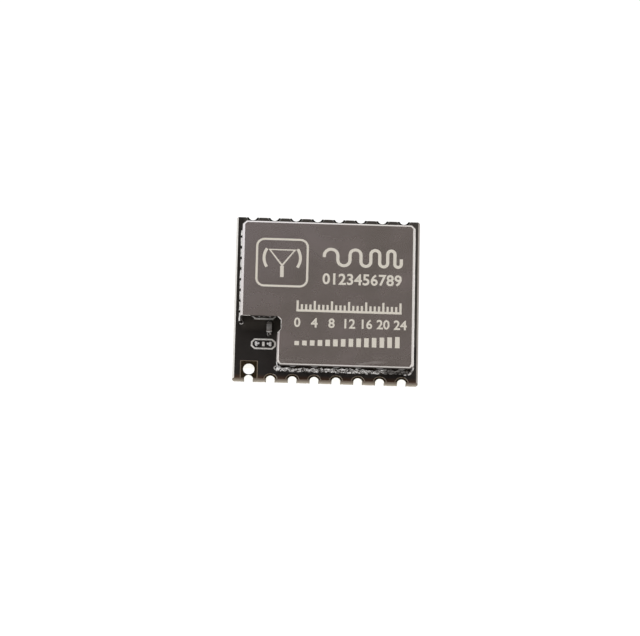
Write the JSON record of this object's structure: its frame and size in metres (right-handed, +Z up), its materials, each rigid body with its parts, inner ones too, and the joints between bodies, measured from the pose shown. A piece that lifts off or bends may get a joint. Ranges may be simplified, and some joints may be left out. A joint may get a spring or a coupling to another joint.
{
  "type": "radio transceiver module",
  "caption": "Surface-mount long-range radio module: circuit board with half-hole contacts along two edges, and a folded metal shield can with a stepped corner over its parts.",
  "frame": {"origin": "centre of the board's outline, on its underside", "axes": "+X runs along the two rows of contacts, to the right as the antenna contact is at the front left; +Y points from the antenna side to the back row; +Z points up through the shield can"},
  "size_m": [0.017, 0.016, 0.0027],
  "materials": {
    "board_laminate": "satin black solder mask over glass-epoxy laminate",
    "contact_gold": "thin gold plating, some of it wetted with solder",
    "can_metal": "dull nickel silver sheet with a fine rolled grain",
    "solder": "bright reflowed tin solder",
    "moulding_compound": "matt moulded epoxy",
    "crystal_ceramic": "bare ceramic",
    "crystal_lid_metal": "satin plated lid",
    "capacitor_ceramic": "bare ceramic between tinned ends",
    "inductor_ferrite": "bare ferrite between tinned ends",
    "resistor_body": "glossy overglaze between tinned ends"
  },
  "bodies": {
    "root": {"board": "board_laminate", "shield_can": "can_metal", "antenna_series_cap": "capacitor_ceramic", "transceiver_chip": "moulding_compound", "rf_switch": "moulding_compound", "crystal_base": "crystal_ceramic", "crystal_lid": "crystal_lid_metal", "pad_01": "contact_gold", "pad_02": "contact_gold", "pad_03": "contact_gold", "pad_04": "contact_gold", "pad_05": "contact_gold", "pad_06": "contact_gold", "pad_07": "contact_gold", "pad_08": "contact_gold", "pad_09": "contact_gold", "pad_10": "contact_gold", "pad_11": "contact_gold", "pad_12": "contact_gold", "pad_13": "contact_gold", "pad_14": "contact_gold", "pad_15": "contact_gold", "pad_16": "contact_gold", "solder_front": "solder", "solder_right": "solder", "solder_back": "solder", "solder_left": "solder", "bypass_cap_1": "capacitor_ceramic", "bypass_cap_2": "capacitor_ceramic", "bypass_cap_3": "capacitor_ceramic", "bypass_cap_4": "capacitor_ceramic", "bypass_cap_5": "capacitor_ceramic", "bypass_cap_6": "capacitor_ceramic", "tx_match_cap_1": "capacitor_ceramic", "tx_match_cap_2": "capacitor_ceramic", "rx_match_cap_1": "capacitor_ceramic", "rx_match_cap_2": "capacitor_ceramic", "antenna_filter_cap": "capacitor_ceramic", "crystal_load_cap_1": "capacitor_ceramic", "crystal_load_cap_2": "capacitor_ceramic", "supply_bulk_cap": "capacitor_ceramic", "tx_inductor_1": "inductor_ferrite", "tx_inductor_2": "inductor_ferrite", "rx_inductor_1": "inductor_ferrite", "rx_inductor_2": "inductor_ferrite", "antenna_filter_inductor": "inductor_ferrite", "supply_choke": "inductor_ferrite", "reset_pull_up": "resistor_body", "control_resistor_1": "resistor_body", "control_resistor_2": "resistor_body"}
  },
  "joints": []
}
